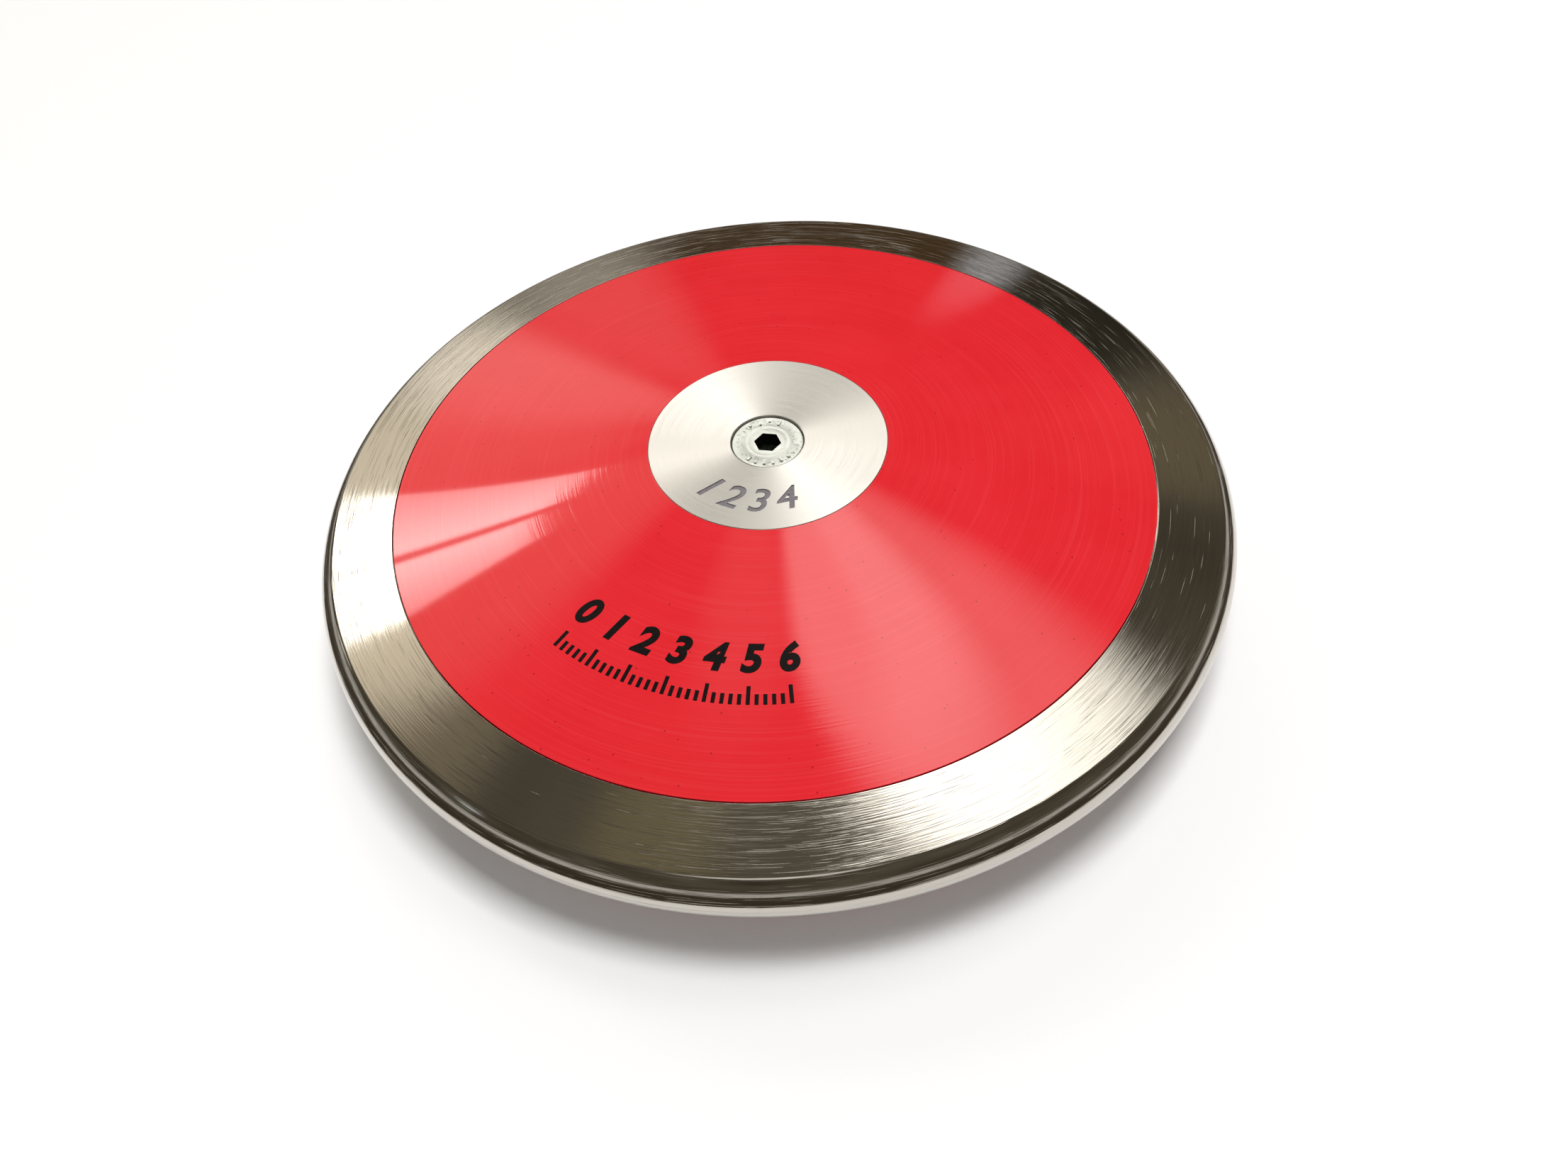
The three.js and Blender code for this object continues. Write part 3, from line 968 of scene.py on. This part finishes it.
# The print on the upper side plate: a plain scale with numbers, like a dial's
printing = {
    "azimuth": -113,
    "footRadius": 49.6,
    "ticks": 31,
    "longEvery": 5,
    "sweep": 46,
    "short": 1.7,
    "long": 3.0,
    "width": 0.62,
    "proud": 0.03,
    "thickness": 0.1,
}
printedNumbers = {
    "size": 6.2,
    "slant": 0.18,
    "bold": 0.28,
    "thickness": printing["thickness"],
    "footRadius": 44.2,
    "azimuth": printing["azimuth"],
    "sweep": printing["sweep"],
}
inkMiddle = printing["proud"] - printing["thickness"] / 2
scalePiece = ticksAround("printed_scale", printing, faceHeight(0) + inkMiddle, taper, inkMaterial)
numbersPiece = numbersOnArc(
    "printed_numbers",
    ["0", "1", "2", "3", "4", "5", "6"],
    printedNumbers,
    lambda radius: faceHeight(radius) + inkMiddle,
)
numbersPiece.data.materials.append(inkMaterial)
for piece in (scalePiece, numbersPiece):
    place(piece, None)
print("print", len(scalePiece.data.polygons) + len(numbersPiece.data.polygons), "faces")


def letThrough(add, shader, share):
    # Makes a surface clear by this share
    clear = add("ShaderNodeBsdfTransparent")
    mixed = add("ShaderNodeMixShader", {0: share, 1: shader, 2: clear})
    setInputs(shader.id_data.nodes["Material Output"], {"Surface": mixed})


# The white sheet that the discus lies on, a hair below its lower face. Its faint cool glow sets how dark the
# shadow is. Seen from below it lets the camera through.
sheet = {
    "size": 6000,
    "drop": 0.05,
    "colour": "#fafafa",
    "roughness": 0.9,
    "specular": 0.1,
    "glow": 0.092,
    "glowColour": (0.75, 0.95, 1, 1),
}


def whiteSheet():
    look = {
        "Base Color": hexColour(sheet["colour"]),
        "Roughness": sheet["roughness"],
        "Specular IOR Level": sheet["specular"],
        "Emission Color": sheet["glowColour"],
        "Emission Strength": sheet["glow"],
    }
    material, add, shader = newMaterial("white_paper", look)
    side = add("ShaderNodeNewGeometry")
    letThrough(add, shader, side.outputs["Backfacing"])
    half = sheet["size"] / 2 * mm
    level = -sheet["drop"] * mm
    mesh = bpy.data.meshes.new("white_sheet")
    corners = [(-half, -half, level), (half, -half, level), (half, half, level), (-half, half, level)]
    mesh.from_pydata(corners, [], [(0, 1, 2, 3)])
    mesh.materials.append(material)
    floor = addObject("white_sheet", mesh)


whiteSheet()

ringSteps = 96


def ringOfFaces(name, first, second, material, centre=(0, 0)):
    # Faces between two level circles round one centre, each circle a radius and a height
    points, faces = [], []
    for step in range(ringSteps):
        angle = 2 * pi * step / ringSteps
        for radius, height in (first, second):
            east, north = centre[0] + cos(angle) * radius, centre[1] + sin(angle) * radius
            points.append((east * mm, north * mm, height * mm))
        i, j = 2 * step, 2 * ((step + 1) % ringSteps)
        faces.append((i, i + 1, j + 1, j))
    mesh = bpy.data.meshes.new(name)
    mesh.from_pydata(points, [], faces)
    mesh.materials.append(material)
    return addObject(name, mesh)


# A pale wall round the sheet, for views from low down; its top fades into the room
backdrop = {"radius": 2950, "height": 620, "fadeFrom": 300, "glow": 0.55, "glowColour": (1, 0.97, 0.92, 1)}


def paleBackdrop():
    look = {
        "Base Color": (0, 0, 0, 1),
        "Specular IOR Level": 0,
        "Emission Color": backdrop["glowColour"],
        "Emission Strength": backdrop["glow"],
    }
    material, add, shader = newMaterial("pale_backdrop", look)
    coordinates = add("ShaderNodeTexCoord")
    parts = add("ShaderNodeSeparateXYZ", {0: coordinates.outputs["Object"]})
    low, high = backdrop["fadeFrom"] * mm, backdrop["height"] * mm
    rise = {"Value": parts.outputs["Z"], "From Min": low, "From Max": high}
    letThrough(add, shader, add("ShaderNodeMapRange", rise, interpolation_type="SMOOTHSTEP"))
    foot, top = (backdrop["radius"], 0), (backdrop["radius"], backdrop["height"])
    wall = ringOfFaces("pale_backdrop", foot, top, material)


paleBackdrop()


def directionTo(azimuth, elevation):
    # Azimuth counts from +X towards +Y, the far side
    a, e = radians(azimuth), radians(elevation)
    return Vector((cos(a) * cos(e), sin(a) * cos(e), sin(e)))


# Lamps: flat panels that face the discus. The angles and the brightness, where 1 is white, are what it sees.
lampDistance = 1.6  # metres


def addPanel(name, azimuth, elevation, width, height, brightness, colour, roll=0, glossy=True):
    lamp = bpy.data.lights.new(name, "AREA")
    lamp.shape = "RECTANGLE"
    lamp.size = 2 * lampDistance * tan(radians(width) / 2)
    lamp.size_y = 2 * lampDistance * tan(radians(height) / 2)
    lamp.energy = brightness * pi * lamp.size * lamp.size_y
    lamp.color = hexColour(colour)[:3]
    panel = addObject(name, lamp)
    back = directionTo(azimuth, elevation)
    panel.matrix_world = (
        Matrix.Translation(back * lampDistance + Vector((0, 0, middle * mm)))
        @ back.to_track_quat("Z", "Y").to_matrix().to_4x4()
        @ Matrix.Rotation(radians(roll), 4, "Z")
    )
    panel.visible_glossy = glossy
    panel.visible_camera = False


addPanel("softbox_overhead", -40, 83, 19, 19, 19.7, "#fffdff", glossy=False)
addPanel("ceiling_panel", 90, 42, 28, 14, 2.35, "#fffcf6", roll=-45)

# A dark table round the sheet, which only reflections show, as in the photograph
darkTable = {
    "hole": 112,
    "size": 900,
    "offset": 14,
    "offsetAzimuth": 65,
    "height": 0.5,
    "colour": "#3a3226",
    "roughness": 0.6,
}


def tableInReflections():
    look = {"Base Color": hexColour(darkTable["colour"]), "Roughness": darkTable["roughness"]}
    material = newMaterial("dark_table", look)[0]
    centre = directionTo(darkTable["offsetAzimuth"], 0) * darkTable["offset"]
    inner, outer = (darkTable["hole"], darkTable["height"]), (darkTable["size"], darkTable["height"])
    table = ringOfFaces("dark_table", inner, outer, material, centre)
    table.visible_camera = False
    table.visible_diffuse = False
    table.visible_shadow = False


tableInReflections()


# The room round the sheet, measured from its reflections in the photograph: dark and warm, with soft patches
# of light and a window of two panes. Angles in degrees, brightness 1 is white.
roomGlows = [
    # azimuth, elevation, width of the bright middle, width of the whole patch, colour
    (84, 14, 8, 22, (0.075, 0.045, 0.02)),
    (66, 22, 3, 9, (0.03, 0.028, 0.02)),
    (54, 33, 2, 8, (0.17, 0.14, 0.09)),
    (141, 54, 1, 7, (0.24, 0.2, 0.14)),
    (137, 74, 2, 7, (0.2, 0.17, 0.1)),
    (119, 29, 3, 10, (0.98, 0.88, 0.71)),
    (110, 24, 1, 8, (1.4, 1.3, 1.13)),
    (101, 18, 1, 7, (0.46, 0.43, 0.37)),
    (73.5, 18, 0.5, 3, (0.6, 0.62, 0.68)),
    (128, 43, 6, 14, (0.95, 0.84, 0.66)),
    (50, 66, 6, 15, (2.0, 1.95, 1.83)),
    (62, 69, 4, 10, (4.2, 4.1, 3.95)),
    (74, 72, 1, 6, (3.3, 3.2, 3.05)),
    (104, 71, 1, 7, (0.6, 0.56, 0.5)),
    (156, 17, 1, 5, (1.3, 1.25, 1.15)),
    (-163, 23, 1, 4, (0.8, 0.86, 0.9)),
    (142, -10, 4, 12, (0.42, 0.26, 0.1)),
    (-100, 66, 5, 17, (0.9, 0.88, 0.84)),
]
windowPanes = {
    "azimuth": 127,
    "elevation": 38,
    "softness": 0.3,
    "brightness": 10.5,
    "tint": (1, 0.97, 0.92),
    "leastAhead": 0.2,  # keeps the window out of the other half of the room
    # away from the bar between the panes the light falls to this share over so many degrees
    "dimShare": 0.45,
    "dimOver": 6.5,
    "bar": [(-3.05, 3.05), (3.15, -1.45)],
    # corners from the middle of the window, degrees to the side and up, counted round clockwise
    "panes": [
        [(-7.1, 0), (-3.5, 3.0), (3.0, -1.7), (1, -5), (-2.2, -7.3)],
        [(-2.6, 3.1), (-0.8, 6.3), (5.1, 5.6), (6.6, 4.2), (3.3, -1.2)],
    ],
}
roomBase = {
    "clouds": {"Scale": 3.5, "Detail": 3, "Roughness": 0.55},
    "colours": ((0.05, 0.04, 0.027, 1), (0.135, 0.12, 0.09, 1)),
}


def room():
    world = bpy.data.worlds.new("room")
    scene.world = world
    world.use_nodes = True
    world.node_tree.nodes.clear()
    add = partial(addNode, world.node_tree)
    look = add("ShaderNodeTexCoord")
    direction = add("ShaderNodeVectorMath", {0: look.outputs["Generated"]}, operation="NORMALIZE")
    clouds = add("ShaderNodeTexNoise", {"Vector": direction, **roomBase["clouds"]})
    limits = {"Value": clouds.outputs["Fac"], "From Min": noiseLow, "From Max": noiseHigh}
    cloudy = add("ShaderNodeMapRange", limits)
    dark, pale = roomBase["colours"]
    lit = add("ShaderNodeMix", {"Factor": cloudy, 6: dark, 7: pale}, data_type="RGBA")

    def along(azimuth, elevation):
        # the cosine of the angle to this direction
        facing = {0: direction, 1: directionTo(azimuth, elevation)}
        return add("ShaderNodeVectorMath", facing, operation="DOT_PRODUCT").outputs["Value"]

    for azimuth, elevation, inner, outer, colour in roomGlows:
        begin, full = cos(radians(outer)), cos(radians(inner))
        reach = {"Value": along(azimuth, elevation), "From Min": begin, "From Max": full}
        share = add("ShaderNodeMapRange", reach, interpolation_type="SMOOTHSTEP")
        layers = {"Factor": share, 6: lit.outputs[2], 7: (*colour, 1)}
        lit = add("ShaderNodeMix", layers, data_type="RGBA")

    # the panes, each inside all of its edges; sideways and up are degrees from the middle of the window
    azimuth, elevation = windowPanes["azimuth"], windowPanes["elevation"]
    least = windowPanes["leastAhead"]
    ahead = add("ShaderNodeMath", {0: along(azimuth, elevation), 1: least}, operation="MAXIMUM")
    sides = []
    for side in ((azimuth + 90, 0), (azimuth, elevation + 90)):
        share = add("ShaderNodeMath", {0: along(*side), 1: ahead}, operation="DIVIDE")
        sides.append(add("ShaderNodeMath", {0: share, 1: degrees(1)}, operation="MULTIPLY"))
    spot = add("ShaderNodeCombineXYZ", {"X": sides[0], "Y": sides[1], "Z": 1.0})

    def edgeDepth(start, end):
        # degrees inside the line from start to end
        length = hypot(end[0] - start[0], end[1] - start[1])
        across, up = (end[1] - start[1]) / length, -(end[0] - start[0]) / length
        edge = (across, up, -(start[0] * across + start[1] * up))
        inwards = add("ShaderNodeVectorMath", {0: spot, 1: edge}, operation="DOT_PRODUCT")
        return inwards.outputs["Value"]

    fromBar = add("ShaderNodeMath", {0: edgeDepth(*windowPanes["bar"])}, operation="ABSOLUTE")
    fall = {"From Max": windowPanes["dimOver"], "To Min": 1, "To Max": windowPanes["dimShare"]}
    dimming = add("ShaderNodeMapRange", {"Value": fromBar, **fall})
    fullLight = Vector(windowPanes["tint"]) * windowPanes["brightness"]
    daylight = add("ShaderNodeVectorMath", {0: fullLight, "Scale": dimming}, operation="SCALE")
    for corners in windowPanes["panes"]:
        inside = 1.0
        for index, corner in enumerate(corners):
            depth = edgeDepth(corner, corners[(index + 1) % len(corners)])
            share = add("ShaderNodeMapRange", {"Value": depth, "From Max": windowPanes["softness"]})
            inside = add("ShaderNodeMath", {0: inside, 1: share}, operation="MULTIPLY")
        layers = {"Factor": inside, 6: lit.outputs[2], 7: daylight}
        lit = add("ShaderNodeMix", layers, data_type="RGBA")
    roomLight = add("ShaderNodeBackground", {"Color": lit.outputs[2]})
    add("ShaderNodeOutputWorld", {"Surface": roomLight})


room()

# Camera: fitted to the rings of the discus in the photograph
view = {
    "elevation": 46.57,
    "roll": -5.4,
    "distance": 274.72,
    "lens": 36.32,
    "sensor": 36,
    "shiftX": 0.00655,
    "shiftY": -0.0519,
    "nearest": 10,
}


def addCamera():
    lens = bpy.data.cameras.new("camera")
    lens.lens = view["lens"]
    lens.sensor_width = view["sensor"]
    lens.shift_x = view["shiftX"]
    lens.shift_y = view["shiftY"]
    lens.clip_start = view["nearest"] * mm
    camera = addObject("camera", lens)
    e, roll = radians(view["elevation"]), radians(view["roll"])
    back = Vector((0, -cos(e), sin(e)))
    right = Vector((1, 0, 0))
    up = back.cross(right)
    turnedRight = right * cos(roll) + up * sin(roll)
    turnedUp = up * cos(roll) - right * sin(roll)
    stand = back * view["distance"] * mm + Vector((0, 0, middle * mm))
    axes = Matrix((turnedRight, turnedUp, back)).transposed().to_4x4()
    camera.matrix_world = Matrix.Translation(stand) @ axes
    scene.camera = camera


addCamera()
scene.view_settings.view_transform = "Standard"
print("stage, lamps and camera set")
